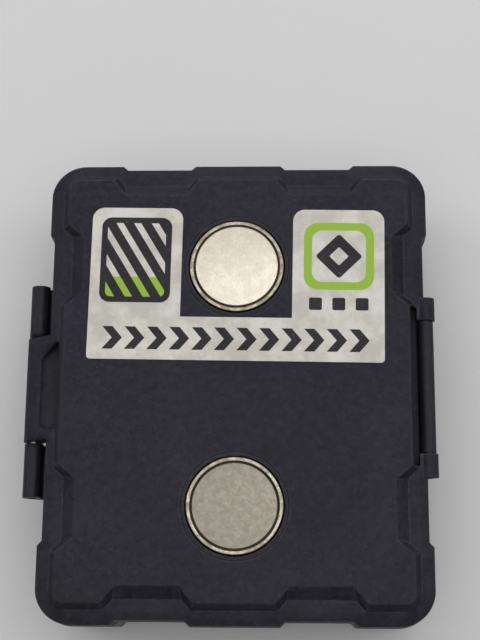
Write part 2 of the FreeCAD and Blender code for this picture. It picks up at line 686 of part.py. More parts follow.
def buildTray():
    body = newShell("tray_shell", -1)
    inset = tongueInnerInset
    radius = S["cavityCorner"] + S["coverWall"] - inset
    hollow(body, inset, radius, partLevel - S["trayFloor"], -1)

    # Tongue that presses on the seal.
    sketch = newSketch(body, "tongue_outline", "XY_Plane", partLevel)
    for edge in (tongueOuterInset, tongueInnerInset):
        radius = S["cavityCorner"] + S["coverWall"] - edge
        closedLoop(sketch, roundedRectangle(halfWidth - edge, halfLength - edge, radius))
    addPad(body, "seal_tongue", sketch, S["tongueHeight"])

    # Pocket for the latch lever with the catch rib across it.
    outside = halfWidth + S["pocketReach"]
    pocketFoot = hookBottom - S["hookFootGap"]
    sketch = newSketch(body, "tray_pocket_profile", "XZ_Plane", 0)
    closedLoop(sketch, [
        (trayPocketX, pocketFoot),
        (outside, pocketFoot - S["hookFootFall"]),
        (outside, partLevel + S["cutPast"]),
        (trayPocketX, partLevel + S["cutPast"]),
        (trayPocketX, catchTop + S["catchLead"]),
        (catchX, catchTop),
        (catchX, catchBottom),
        (trayPocketX, catchBottom),
    ])
    addPocket(body, "tray_latch_pocket", sketch, pocketHalf * 2, symmetric=True)

    # Two arms carry the outer knuckles.
    centre = (hingeX, hingeZ)
    topX, topZ = onCircle(hingeX, hingeZ, S["hingeRadius"], S["armTopTurn"])
    footX, footZ = onCircle(hingeX, hingeZ, S["hingeRadius"], S["armFootTurn"])
    insideX = tongueOuterInset - halfWidth
    for name, start in (("far", hingeArmInner), ("near", -S["hingeHalf"])):
        sketch = newSketch(body, f"{name}_arm_profile", "XZ_Plane", -(start + (S["hingeHalf"] - hingeArmInner)))
        closedLoop(sketch, [
            (topX, topZ, centre),
            (hingeX, hingeZ + S["hingeRadius"], centre),
            (hingeX - S["hingeRadius"], hingeZ, centre),
            (footX, footZ, centre),
            (insideX, hingeZ - S["hingeArmDrop"]),
            (insideX, topZ),
        ])
        addPad(body, f"{name}_hinge_arm", sketch, S["hingeHalf"] - hingeArmInner)
    halfBore = S["hingeHalf"] + S["cutPast"]
    addCylinder(body, "tray_hinge_bore", -1, S["hingePinRadius"] + S["pressGap"], halfBore * 2,
                (hingeX, -halfBore, hingeZ), along="Y")
    return body


def buildSeal():
    body = newBody("lid_seal")
    sketch = newSketch(body, "seal_outline", "XY_Plane", sealBase)
    for inset in (grooveOuterInset + S["sealSideGap"], grooveInset - S["sealSideGap"]):
        radius = S["cavityCorner"] + S["coverWall"] - inset
        closedLoop(sketch, roundedRectangle(halfWidth - inset, halfLength - inset, radius))
    addPad(body, "seal_ring", sketch, S["sealHeight"])
    return body


def buildPin(name, radius, half, x, z):
    body = newBody(name)
    addCylinder(body, f"{name}_rod", +1, radius, half * 2, (x, -half, z), along="Y")
    ends = half.number
    addChamfer(body, f"{name}_ends", radius * S["pinBevel"],
               lambda edge: len(edge.Vertexes) == 1 and abs(abs(edge.Vertexes[0].Point.y) - ends) < 1e-4)
    return body


def buildLatch():
    body = newBody("latch_lever")
    centre = (latchX, latchZ)
    neckX, neckZ = onCircle(latchX, latchZ, S["latchBarrel"], S["neckTurn"])
    lipTop = hookTop - S["lipDrop"]
    lipBottom = lipTop - S["fingerLipHeight"]
    lipX = leverOuterX + S["fingerLip"]
    sketch = newSketch(body, "lever_profile", "XZ_Plane", 0)
    closedLoop(sketch, [
        (leverOuterX, latchZ, centre),
        (latchX, latchZ + S["latchBarrel"], centre),
        (latchX - S["latchBarrel"], latchZ, centre),
        (neckX, neckZ, centre),
        (leverInnerX, latchZ - S["latchBarrel"] - S["leverNeck"]),
        (leverInnerX, hookTop),
        (hookTipX, hookTop),
        (hookTipX, hookTop - S["hookHeight"] / 2),
        (leverInnerX, hookBottom),
        (leverInnerX + S["latchPlate"] / 2, lipBottom),
        (lipX - S["lipBevelRun"], lipBottom + S["lipBevelRise"]),
        (lipX, lipTop - S["fingerLipHeight"] / 2),
        (leverOuterX, lipTop + S["lipShoulder"]),
    ])
    addPad(body, "lever_bar", sketch, S["latchHalf"] * 2, symmetric=True)
    halfBore = S["latchHalf"] + S["cutPast"]
    addCylinder(body, "lever_bore", -1, S["latchPinRadius"] + S["runGap"], halfBore * 2,
                (latchX, -halfBore, latchZ), along="Y")
    return body


def buildMagnet(name, place):
    # Steel cup, magnet disc and the dark bond ring between them.
    cup = newBody(f"{name}_magnet_cup")
    addCylinder(cup, f"{name}_cup_blank", +1, S["cupRadius"], S["cupHeight"], (0, place, cupBottom))
    addFillet(cup, f"{name}_cup_round", S["cupEdge"], levelEdges(cupTop.number))
    cavityRadius = S["cupRadius"] - S["cupWall"]
    cavityBase = cupBottom + S["cupBase"]
    addCylinder(cup, f"{name}_cup_cavity", -1, cavityRadius, S["cupHeight"], (0, place, cavityBase))
    addCylinder(cup, f"{name}_cup_thread", -1, S["screwRadius"] + S["pressGap"],
                S["cupBase"] + S["cutPast"] * 2, (0, place, cupBottom - S["cutPast"]))

    disc = newBody(f"{name}_magnet_disc")
    discRadius = cavityRadius - S["discGap"]
    discHeight = cupTop - S["discSunk"] - cavityBase
    addCylinder(disc, f"{name}_disc_blank", +1, discRadius, discHeight, (0, place, cavityBase))
    addFillet(disc, f"{name}_disc_round", S["cupEdge"] / 2, levelEdges((cavityBase + discHeight).number))

    ring = newBody(f"{name}_bond_ring")
    ringHeight = cupTop - S["bondSunk"] - cavityBase
    addCylinder(ring, f"{name}_ring_blank", +1, cavityRadius - S["bondSideGap"], ringHeight,
                (0, place, cavityBase))
    addCylinder(ring, f"{name}_ring_bore", -1, discRadius + S["bondSideGap"], ringHeight + S["cutPast"] * 2,
                (0, place, cavityBase - S["cutPast"]))

    washer = newBody(f"{name}_washer")
    washerBase = socketBottom - S["washerHeight"]
    addCylinder(washer, f"{name}_washer_blank", +1, S["washerRadius"], S["washerHeight"],
                (0, place, washerBase))
    addCylinder(washer, f"{name}_washer_hole", -1, S["screwHole"], S["washerHeight"] + S["cutPast"] * 2,
                (0, place, washerBase - S["cutPast"]))

    screw = newBody(f"{name}_magnet_screw")
    headBase = washerBase - S["screwHeadHeight"]
    shankLength = cupBottom + S["screwGrip"] - washerBase
    addCylinder(screw, f"{name}_screw_head", +1, S["screwHeadRadius"], S["screwHeadHeight"],
                (0, place, headBase))
    addChamfer(screw, f"{name}_screw_bevel", S["screwHeadHeight"] / 3, levelEdges(headBase.number))
    addCylinder(screw, f"{name}_screw_shank", +1, S["screwRadius"], shankLength, (0, place, washerBase))
    halfSlot = S["screwSlot"] / 2
    halfCross = S["screwSlotLength"] / 2
    slotTop = headBase + S["screwSlotDepth"]
    addBox(screw, f"{name}_screw_slot_a", -1, (-halfCross, place - halfSlot, headBase - S["cutPast"]),
           (halfCross, place + halfSlot, slotTop))
    addBox(screw, f"{name}_screw_slot_b", -1, (-halfSlot, place - halfCross, headBase - S["cutPast"]),
           (halfSlot, place + halfCross, slotTop))
    return [cup, disc, ring, washer, screw]


def buildLabel():
    # A U-shaped sticker round the far magnet, laid on a little crooked.
    body = newBody("face_label")
    big = S["labelRadius"]
    small = S["labelSmallRadius"]
    half = panelFootX - S["plateauWallRun"] - S["labelMargin"]
    far = S["magnetPlace"] + S["labelFarReach"]
    near = S["magnetPlace"] - S["labelNearReach"]
    gap = collarRadius + S["labelSideGap"]
    middleY = (far + near) / 2
    top = far - middleY
    bottom = near - middleY
    gapBottom = S["magnetPlace"] - collarRadius - S["labelNearGap"] - middleY
    outerFar = (half - big, top - big)
    innerFar = (gap + big, top - big)
    outerNear = (half - small, bottom + small)
    rightSide = [
        (half - small, bottom, outerNear),
        (half, bottom + small, outerNear),
        (half, top - big, outerFar),
        (half - big, top, outerFar),
        (gap + big, top, innerFar),
        (gap, top - big, innerFar),
        (gap, gapBottom),
    ]
    sketch = newSketch(body, "label_outline", "XY_Plane", 0)
    closedLoop(sketch, rightSide + mirrored(rightSide, True, False))
    addPad(body, "label_film", sketch, S["labelFilm"])
    body.Placement = FreeCAD.Placement(Vector(0, 0, 0), Rotation(Vector(0, 0, 1), S["labelTurn"].number))
    bindPlace(body, (0, middleY, topLevel))
    bind(body, "Placement.Rotation.Angle", S["labelTurn"])
    return body


pieces = [
    buildTray(),
    buildCover(),
    buildSeal(),
    buildPin("hinge_pin", S["hingePinRadius"], S["hingeHalf"] - S["hingePinInset"], hingeX, hingeZ),
    buildLatch(),
    buildPin("latch_pin", S["latchPinRadius"], S["lugHalf"] - S["latchPinInset"], latchX, latchZ),
    buildLabel(),
]
pieces += buildMagnet("far", S["magnetPlace"])
pieces += buildMagnet("near", -S["magnetPlace"])

doc.recompute()
for item in doc.Objects:
    if "Invalid" in item.State or "Error" in item.State:
        raise RuntimeError(f"{item.Label} failed: {item.State}")
for piece in pieces:
    if piece.Shape.isNull() or not piece.Shape.isValid() or len(piece.Shape.Solids) != 1:
        raise RuntimeError(f"{piece.Label} is not one valid solid")
for piece in pieces:
    piece.Shape.exportStep(f"parts/{piece.Label}.step")
    bounds = piece.Shape.BoundBox
    print(piece.Label, round(piece.Shape.Volume, 1), "mm3", len(piece.Shape.Faces), "faces",
          [round(value, 2) for value in (bounds.XMin, bounds.XMax, bounds.YMin, bounds.YMax,
                                         bounds.ZMin, bounds.ZMax)])
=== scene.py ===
import bpy
import bmesh
import json
import math
import numpy as np
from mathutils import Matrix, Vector


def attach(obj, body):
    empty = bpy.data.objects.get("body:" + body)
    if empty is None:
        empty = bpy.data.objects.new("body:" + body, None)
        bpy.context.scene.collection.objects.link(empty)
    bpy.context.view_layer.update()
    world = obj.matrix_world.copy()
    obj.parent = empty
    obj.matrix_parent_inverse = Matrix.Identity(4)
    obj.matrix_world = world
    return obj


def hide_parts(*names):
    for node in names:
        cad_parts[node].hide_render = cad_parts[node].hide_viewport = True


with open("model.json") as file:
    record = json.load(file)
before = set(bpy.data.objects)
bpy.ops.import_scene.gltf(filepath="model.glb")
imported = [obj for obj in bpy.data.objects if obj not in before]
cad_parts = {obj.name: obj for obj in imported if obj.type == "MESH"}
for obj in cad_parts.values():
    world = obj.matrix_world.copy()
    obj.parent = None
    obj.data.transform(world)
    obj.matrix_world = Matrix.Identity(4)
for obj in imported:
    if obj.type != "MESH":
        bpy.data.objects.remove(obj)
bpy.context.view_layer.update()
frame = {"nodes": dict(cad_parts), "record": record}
mm = 0.001
print("frame loaded:", len(frame["nodes"]), "pieces of the packed model")


def addObject(name, data):
    # A new object in the scene, at the origin.
    made = bpy.data.objects.new(name, data)
    bpy.context.scene.collection.objects.link(made)
    return made


# Camera: almost straight above the magnet face, leaning in a little from the near end.
cameraView = {
    "place": (0.01175, -0.06709, 0.34267),
    "turn": (14.850, 1.884, 0.489),   # degrees about X, Y and Z
    "focalPixels": 1383.95,           # focal length in pixels of the 480 x 640 picture
    "imageHeight": 640,
    "sensorHeight": 36.0,
    "nearest": 0.01, "farthest": 10.0,
}


def makeCamera(view):
    # Lens in millimetres = focal length in pixels * sensor height / picture height in pixels.
    data = bpy.data.cameras.new("photoCamera")
    data.sensor_width = view["sensorHeight"]   # the long side of the picture
    data.lens = view["focalPixels"] * view["sensorHeight"] / view["imageHeight"]
    data.clip_start, data.clip_end = view["nearest"], view["farthest"]
    camera = addObject("photoCamera", data)
    camera.location = view["place"]
    camera.rotation_euler = [math.radians(angle) for angle in view["turn"]]
    bpy.context.scene.camera = camera


makeCamera(cameraView)


# Small helpers for shader trees.
def addNode(tree, kind, **values):
    # A new node with its own settings.
    node = tree.nodes.new(kind)
    for name, value in values.items():
        setattr(node, name, value)
    return node


def feed(tree, socket, value):
    # A socket is linked to this one, and a plain number or vector becomes this one's value.
    if isinstance(value, bpy.types.NodeSocket):
        tree.links.new(value, socket)
    else:
        socket.default_value = value


def calc(tree, operation, *terms, clamp=False):
    # One sum on numbers. With clamp the result stays between 0 and 1.
    node = addNode(tree, "ShaderNodeMath", operation=operation, use_clamp=clamp)
    for socket, term in zip(node.inputs, terms):
        feed(tree, socket, term)
    return node.outputs[0]


def calcVector(tree, operation, *terms):
    # One sum on vectors. A dot product gives a number, the rest give a vector.
    node = addNode(tree, "ShaderNodeVectorMath", operation=operation)
    for socket, term in zip(node.inputs, terms):
        feed(tree, socket, term)
    return node.outputs["Value" if operation == "DOT_PRODUCT" else "Vector"]


def plus(tree, base, value, share, clamp=False):
    # base + value * share
    return calc(tree, "ADD", base, calc(tree, "MULTIPLY", value, share), clamp=clamp)


def rise(tree, value, low, high, start=0.0, stop=1.0):
    # Smooth step from start to stop while the value goes from low to high.
    node = addNode(tree, "ShaderNodeMapRange", interpolation_type="SMOOTHSTEP")
    for socket, term in zip(node.inputs, (value, low, high, start, stop)):
        feed(tree, socket, term)
    return node.outputs[0]


def fall(tree, value, low, high):
    # Smooth step from 1 down to 0 while the value goes from low to high.
    return rise(tree, value, low, high, 1.0, 0.0)


def blendColor(tree, factor, first, second):
    # First colour where the factor is 0, second where it is 1. A tone of three numbers is opaque.
    node = addNode(tree, "ShaderNodeMix", data_type="RGBA")
    feed(tree, node.inputs["Factor"], factor)
    for socket, tone in (("A", first), ("B", second)):
        feed(tree, node.inputs[socket], (*tone, 1) if isinstance(tone, tuple) else tone)
    return node.outputs["Result"]


def noise(tree, place, scale, detail=3.0, rough=0.55):
    # Cloudy values round 0.5. A larger scale gives finer clouds.
    node = addNode(tree, "ShaderNodeTexNoise")
    feed(tree, node.inputs["Vector"], place)
    feed(tree, node.inputs["Scale"], scale)
    node.inputs["Detail"].default_value = detail
    node.inputs["Roughness"].default_value = rough
    return node.outputs[0]


def objectPlace(tree):
    # Where a point lies on the piece, in metres.
    return addNode(tree, "ShaderNodeTexCoord").outputs["Object"]


def startGroup(name, inputs, outputs):
    # A node group with number or vector sockets. Gives the tree, its inputs and its outputs.
    tree = bpy.data.node_groups.new(name, "ShaderNodeTree")
    for socket, kind, value in inputs:
        made = tree.interface.new_socket(socket, in_out="INPUT", socket_type=f"NodeSocket{kind}")
        made.default_value = value
    for socket, kind in outputs:
        tree.interface.new_socket(socket, in_out="OUTPUT", socket_type=f"NodeSocket{kind}")
    given = addNode(tree, "NodeGroupInput").outputs
    return tree, given, addNode(tree, "NodeGroupOutput").inputs


def useGroup(tree, group, **values):
    # The group placed in a material with its own values. Gives its outputs.
    node = addNode(tree, "ShaderNodeGroup", node_tree=group)
    for name, value in values.items():
        feed(tree, node.inputs[name], value)
    return node.outputs


# Moulded grain: how many times coarser than the finest layer, and each layer's share.
grainLayers = {
    "coarse": 5.0, "slow": 60.0, "mottle": 5.5,
    "fineShare": 0.65, "coarseShare": 0.35, "slowShare": 0.4, "mottleShare": 0.6,
}


def makeMouldedGrain(look):
    # Height = fine * its share + coarse * its share. Tone = slow * its share + mottle * its share.
    tree, given, out = startGroup("mouldedGrain", [("Scale", "Float", 2600.0)],
                                  [("Height", "Float"), ("Tone", "Float")])
    place = objectPlace(tree)
    fine = noise(tree, place, given["Scale"], 4.0, 0.6)
    coarse = noise(tree, place, calc(tree, "DIVIDE", given["Scale"], look["coarse"]), 2.0)
    slow = noise(tree, place, calc(tree, "DIVIDE", given["Scale"], look["slow"]), 4.0)
    mottle = noise(tree, place, calc(tree, "DIVIDE", given["Scale"], look["mottle"]), 5.0, 0.7)
    tone = plus(tree, calc(tree, "MULTIPLY", slow, look["slowShare"]),
                mottle, look["mottleShare"])
    height = plus(tree, calc(tree, "MULTIPLY", fine, look["fineShare"]),
                  coarse, look["coarseShare"])
    tree.links.new(height, out["Height"])
    tree.links.new(tone, out["Tone"])
    return tree


# Edge wear with a painted edge highlight: lean of the normal at which it starts and is full, and
# how noise breaks it up.
wearAndHighlightLayers = {"samples": 6, "lean": (0.004, 0.06), "breakup": (0.36, 0.66), "least": 0.35}


def makeEdgeWearAndHighlight(look):
    # Lean = 1 - dot(normal averaged over Radius, the surface's own). Mask = its rise * noise; it
    # marks edges for wear and for a painted highlight.
    tree, given, out = startGroup("edgeWearAndHighlight",
                                  [("Radius", "Float", 0.0006), ("Breakup", "Float", 900.0)],
                                  [("Mask", "Float"), ("Normal", "Vector")])
    wide = addNode(tree, "ShaderNodeBevel", samples=look["samples"])
    tree.links.new(given["Radius"], wide.inputs["Radius"])
    own = addNode(tree, "ShaderNodeNewGeometry").outputs["Normal"]
    lean = calc(tree, "SUBTRACT", 1.0, calcVector(tree, "DOT_PRODUCT", wide.outputs[0], own))
    edge = rise(tree, lean, *look["lean"])
    cloud = noise(tree, objectPlace(tree), given["Breakup"], 4.0, 0.65)
    rough = rise(tree, cloud, *look["breakup"], look["least"], 1.0)
    tree.links.new(calc(tree, "MULTIPLY", edge, rough), out["Mask"])
    tree.links.new(wide.outputs[0], out["Normal"])
    return tree


# Scratches: two families with their extra turn in radians and how far the noise is drawn out.
scratchLayers = {
    "families": ((0.0, 26.0), (1.3, 34.0)), "width": 0.012,
    "patchScale": 70.0, "patches": (0.52, 0.70),
}


def makeScratches(look):
    # Thin lines: noise drawn out along one direction, kept only near its middle value of 0.5.
    tree, given, out = startGroup("fineScratches",
                                  [("Turn", "Float", 0.4), ("Scale", "Float", 120.0)],
                                  [("Mask", "Float")])
    lines = []
    for extra, stretch in look["families"]:
        turned = addNode(tree, "ShaderNodeVectorRotate", rotation_type="Z_AXIS")
        tree.links.new(objectPlace(tree), turned.inputs["Vector"])
        feed(tree, turned.inputs["Angle"], calc(tree, "ADD", given["Turn"], extra))
        long = calcVector(tree, "MULTIPLY", turned.outputs[0], (1.0, stretch, 1.0))
        cloud = noise(tree, long, given["Scale"], 2.0)
        offMiddle = calc(tree, "ABSOLUTE", calc(tree, "SUBTRACT", cloud, 0.5))
        lines.append(fall(tree, offMiddle, 0.0, look["width"]))
    sparse = rise(tree, noise(tree, objectPlace(tree), look["patchScale"], 2.0), *look["patches"])
    either = calc(tree, "MAXIMUM", lines[0], lines[1])
    tree.links.new(calc(tree, "MULTIPLY", either, sparse), out["Mask"])
    return tree


# Dust: cells with a speck in their middle, the noise that picks a few of them, and the film.
dustLayers = {
    "cellScale": 420.0, "speck": (0.03, 0.09), "pickScale": 260.0, "picked": (0.68, 0.76),
    "filmScale": 38.0, "film": (0.38, 0.72),
}


def makeDust(look):
    # Specks = closeness to a cell's middle * the cells picked. Film = patches of slow noise.
    tree, given, out = startGroup("dustAndSmudges", [("Scale", "Float", 1.0)],
                                  [("Specks", "Float"), ("Film", "Float")])
    place = calcVector(tree, "SCALE", objectPlace(tree))
    tree.links.new(given["Scale"], place.node.inputs["Scale"])
    cells = addNode(tree, "ShaderNodeTexVoronoi")
    tree.links.new(place, cells.inputs["Vector"])
    cells.inputs["Scale"].default_value = look["cellScale"]
    near = fall(tree, cells.outputs["Distance"], *look["speck"])
    picked = rise(tree, noise(tree, place, look["pickScale"], 1.0), *look["picked"])
    tree.links.new(calc(tree, "MULTIPLY", near, picked), out["Specks"])
    film = rise(tree, noise(tree, place, look["filmScale"], 5.0, 0.6), *look["film"])
    tree.links.new(film, out["Film"])
    return tree


# Turned marks: scale of the noise that shakes the rings, and the radians of one full wave.
turnedLayers = {"shakeScale": 500.0, "wave": 6.2832}


def makeTurnedMarks(look):
    # Radius = distance from the magnet's axis. Height = sine of (radius / Spacing + noise) * wave.
    tree, given, out = startGroup("turnedMarks",
                                  [("Spacing", "Float", 0.00022), ("Offset", "Float", 0.028)],
                                  [("Height", "Float")])
    split = addNode(tree, "ShaderNodeSeparateXYZ")
    tree.links.new(objectPlace(tree), split.inputs[0])
    across = calc(tree, "SUBTRACT", calc(tree, "ABSOLUTE", split.outputs["Y"]), given["Offset"])
    squares = [calc(tree, "POWER", value, 2.0) for value in (split.outputs["X"], across)]
    radius = calc(tree, "SQRT", calc(tree, "ADD", *squares))
    shaken = calc(tree, "ADD", calc(tree, "DIVIDE", radius, given["Spacing"]),
                  noise(tree, objectPlace(tree), look["shakeScale"], 2.0))
    wave = calc(tree, "SINE", calc(tree, "MULTIPLY", shaken, look["wave"]))
    tree.links.new(wave, out["Height"])
    return tree


printEdge = 0.05   # millimetres to either side over which a printed edge fades


def makeStickerShape():
    # A rounded box, 1 inside and 0 outside. Past = |place| - half size + corner radius, and
    # distance = length of past above 0 + the larger past below 0 - corner radius.
    tree, given, out = startGroup("stickerShape", [
        ("Place", "Vector", (0, 0, 0)), ("Centre", "Vector", (0, 0, 0)),
        ("Half", "Vector", (1, 1, 0)), ("Corner", "Float", 0.5), ("Turn", "Float", 0.0)],
        [("Mask", "Float")])
    turned = addNode(tree, "ShaderNodeVectorRotate", rotation_type="Z_AXIS")
    fromCentre = calcVector(tree, "SUBTRACT", given["Place"], given["Centre"])
    tree.links.new(fromCentre, turned.inputs["Vector"])
    tree.links.new(given["Turn"], turned.inputs["Angle"])
    split = addNode(tree, "ShaderNodeSeparateXYZ")
    tree.links.new(calcVector(tree, "ABSOLUTE", turned.outputs[0]), split.inputs[0])
    size = addNode(tree, "ShaderNodeSeparateXYZ")
    tree.links.new(given["Half"], size.inputs[0])
    past = [calc(tree, "ADD", calc(tree, "SUBTRACT", split.outputs[axis], size.outputs[axis]),
                 given["Corner"]) for axis in ("X", "Y")]
    squares = [calc(tree, "POWER", calc(tree, "MAXIMUM", value, 0.0), 2.0) for value in past]
    outside = calc(tree, "SQRT", calc(tree, "ADD", *squares))
    inside = calc(tree, "MINIMUM", calc(tree, "MAXIMUM", *past), 0.0)
    distance = calc(tree, "SUBTRACT", calc(tree, "ADD", outside, inside), given["Corner"])
    tree.links.new(fall(tree, distance, -printEdge, printEdge), out["Mask"])
    return tree


mouldedGrain = makeMouldedGrain(grainLayers)
edgeWearAndHighlight = makeEdgeWearAndHighlight(wearAndHighlightLayers)
fineScratches = makeScratches(scratchLayers)
dustAndSmudges = makeDust(dustLayers)
turnedMarks = makeTurnedMarks(turnedLayers)
stickerShape = makeStickerShape()
print("shared effects ready:", len(bpy.data.node_groups), "node groups")


def startMaterial(name):
    # A new material with its tree and its Principled shader.
    material = bpy.data.materials.new(name)
    material.use_nodes = True
    tree = material.node_tree
    return material, tree, tree.nodes["Principled BSDF"]


def addBump(tree, shader, height, strength, distance, normal=None):
    # The normal leans with the height's slope * distance in metres, by the share given as strength.
    bump = addNode(tree, "ShaderNodeBump")
    bump.inputs["Strength"].default_value = strength
    bump.inputs["Distance"].default_value = distance
    tree.links.new(height, bump.inputs["Height"])
    if normal is not None:
        tree.links.new(normal, bump.inputs["Normal"])
    tree.links.new(bump.outputs[0], shader.inputs["Normal"])


# Plastics: dark and light tone of the moulding, roughness, grain, edges lightened by wear and a
# painted highlight, dust and scratches.
coverFinish = {
    "tones": ((0.0038, 0.0036, 0.0088), (0.0165, 0.0158, 0.0255)), "toneRange": (0.36, 0.64),
    "specular": 0.19, "rough": (0.46, 0.62), "roughRange": (0.25, 0.75),
    "grain": 3200.0, "grainStrength": 0.60, "grainDepth": 0.00008,
    "peakRange": (0.52, 0.70), "peakWear": 0.16,   # the grain's peaks are rubbed lighter
    # The wear tone lightens grain peaks and scratches as wear, and edges as wear with a painted
    # highlight.
    "wearAndHighlightTone": (0.115, 0.113, 0.132), "edgeWearAndHighlightShare": 0.34, "edgeRadius": 0.0008,
    "softEdgeShare": 0.08, "softRadius": 0.0024,        # share of the edge wear and painted highlight on the soft part
    "dustTone": (0.085, 0.083, 0.086), "dust": 0.04, "speckDust": 3, "filmRough": 0.08,
    "scratch": 0.08,
}
trayFinish = dict(
    coverFinish, tones=((0.0045, 0.0042, 0.0090), (0.0075, 0.0070, 0.0130)),
    rough=(0.32, 0.46), specular=0.20, edgeWearAndHighlightShare=0.24, dust=0.06)
leverFinish = dict(
    coverFinish, tones=((0.0080, 0.0075, 0.0135), (0.0115, 0.0109, 0.0182)),
    rough=(0.32, 0.46), specular=0.18, grainStrength=0.16, edgeWearAndHighlightShare=0.30, dust=0.04, scratch=0.30)

# The soft part in metres: x over which the hinge leaf starts, and half width over which it ends.
hingeLeaf = {"start": (-0.0425, -0.0415), "side": (0.0135, 0.0145)}


def softPart(tree, leaf):
    # 1 on the hinge leaf and its finger scoop, whose edges are moulded soft; 0 elsewhere.
    split = addNode(tree, "ShaderNodeSeparateXYZ")
    tree.links.new(objectPlace(tree), split.inputs[0])
    outward = fall(tree, split.outputs["X"], *leaf["start"])
    middle = fall(tree, calc(tree, "ABSOLUTE", split.outputs["Y"]), *leaf["side"])
    return calc(tree, "MULTIPLY", outward, middle)


def plasticMaterial(name, look):
    # Colour = the two tones by the grain's cloud, then lighter on the grain's peaks, on edges (wear
    # and a painted highlight) and on scratches, then dust. Roughness = its range by the same cloud
    # + film * filmRough.
    material, tree, shader = startMaterial(name)
    grain = useGroup(tree, mouldedGrain, Scale=look["grain"])
    soft = softPart(tree, hingeLeaf)
    radius = rise(tree, soft, 0.0, 1.0, look["edgeRadius"], look["softRadius"])
    edge = useGroup(tree, edgeWearAndHighlight, Radius=radius)
    dust = useGroup(tree, dustAndSmudges)
    marks = useGroup(tree, fineScratches)
    body = blendColor(tree, rise(tree, grain["Tone"], *look["toneRange"]), *look["tones"])
    peaks = rise(tree, grain["Height"], *look["peakRange"], 0.0, look["peakWear"])
    grained = blendColor(tree, peaks, body, look["wearAndHighlightTone"])
    amount = rise(tree, soft, 0.0, 1.0, look["edgeWearAndHighlightShare"], look["edgeWearAndHighlightShare"] * look["softEdgeShare"])
    # Edges lighter by the wear tone: partly wear, partly a painted highlight.
    wornAndHighlighted = blendColor(tree, calc(tree, "MULTIPLY", edge["Mask"], amount), grained, look["wearAndHighlightTone"])
    scratches = calc(tree, "MULTIPLY", marks["Mask"], look["scratch"])
    scratched = blendColor(tree, scratches, wornAndHighlighted, look["wearAndHighlightTone"])
    film = calc(tree, "MULTIPLY", dust["Film"], look["dust"])
    dirt = plus(tree, film, dust["Specks"], look["dust"] * look["speckDust"], clamp=True)
    color = blendColor(tree, dirt, scratched, look["dustTone"])
    tree.links.new(color, shader.inputs["Base Color"])
    rough = rise(tree, grain["Tone"], *look["roughRange"], *look["rough"])
    rough = plus(tree, rough, dust["Film"], look["filmRough"], clamp=True)
    tree.links.new(rough, shader.inputs["Roughness"])
    shader.inputs["Specular IOR Level"].default_value = look["specular"]
    addBump(tree, shader, grain["Height"], look["grainStrength"], look["grainDepth"],
            edge["Normal"])
    return material


# Metals: what all share, then for each its two tones, patches, marks, stains and scratches.
metalFinish = {
    "patchRange": (0.36, 0.64), "stainScale": 2.3, "stainRange": (0.52, 0.74), "stainRough": 0.3,
    "speckleScale": 2300.0, "speckleRange": (0.46, 0.62), "scratchScale": 220.0,
    "gritScale": 2600.0, "ringShare": 0.35, "bump": 0.5,
}
cupFinish = dict(
    metalFinish, tones=((0.25, 0.22, 0.168), (0.42, 0.38, 0.305)), patch=420.0,
    rough=(0.22, 0.42), spacing=0.00030, depth=0.000024,
    stain=(0.16, 0.12, 0.07), stainAmount=0.45, speckle=0.45, scratch=0.25)
# The two discs are one nickel: the far disc's tones and stain are painted lighter as painted
# reflected light.
farDiscPaintedLightFinish = dict(
    metalFinish, tones=((0.515, 0.475, 0.398), (0.575, 0.532, 0.450)), patch=500.0,
    rough=(0.33, 0.37), spacing=0.00024, depth=0.000012,
    stain=(0.44, 0.38, 0.28), stainAmount=0.15, speckle=0.42, scratch=0.30)
# Near disc: the same nickel with tones and stain painted darker as painted shade; its extra
# scratches are wear.
nearDiscPaintedShadeFinish = dict(
    metalFinish, tones=((0.215, 0.197, 0.164), (0.255, 0.235, 0.198)), patch=600.0,
    rough=(0.38, 0.43), spacing=0.00024, depth=0.000016,
    stain=(0.17, 0.135, 0.09), stainAmount=0.25, speckle=0.30, scratch=0.55)
screwFinish = dict(
    metalFinish, tones=((0.50, 0.50, 0.52), (0.66, 0.66, 0.66)), patch=600.0,
    rough=(0.28, 0.45), spacing=0.00020, depth=0.000016,
    stain=(0.20, 0.17, 0.10), stainAmount=0.15, speckle=0.10, scratch=0.20)


def metalMaterial(name, look):
    # Colour = the two tones by patches, darker where stain or speckle is stronger, lighter on
    # scratches. Roughness = its range, smoother in light patches, + stain * stainRough.
    material, tree, shader = startMaterial(name)
    place = objectPlace(tree)
    rings = useGroup(tree, turnedMarks, Spacing=look["spacing"])
    marks = useGroup(tree, fineScratches, Scale=look["scratchScale"])
    patch = rise(tree, noise(tree, place, look["patch"], 6.0, 0.65), *look["patchRange"])
    base = blendColor(tree, patch, *look["tones"])
    cloud = noise(tree, place, look["patch"] * look["stainScale"], 4.0)
    stain = calc(tree, "MULTIPLY", rise(tree, cloud, *look["stainRange"]), look["stainAmount"])
    dots = rise(tree, noise(tree, place, look["speckleScale"], 4.0, 0.7), *look["speckleRange"])
    speckle = calc(tree, "MULTIPLY", dots, look["speckle"])
    stained = blendColor(tree, calc(tree, "MAXIMUM", stain, speckle), base, look["stain"])
    scratches = calc(tree, "MULTIPLY", marks["Mask"], look["scratch"])
    color = blendColor(tree, scratches, stained, look["tones"][1])
    tree.links.new(color, shader.inputs["Base Color"])
    low, high = look["rough"]
    rough = rise(tree, patch, 0.0, 1.0, high, low)
    rough = plus(tree, rough, stain, look["stainRough"], clamp=True)
    tree.links.new(rough, shader.inputs["Roughness"])
    shader.inputs["Metallic"].default_value = 1.0
    grit = noise(tree, place, look["gritScale"])
    height = calc(tree, "ADD", calc(tree, "MULTIPLY", rings["Height"], look["ringShare"]), grit)
    addBump(tree, shader, height, look["bump"], look["depth"])
    return material


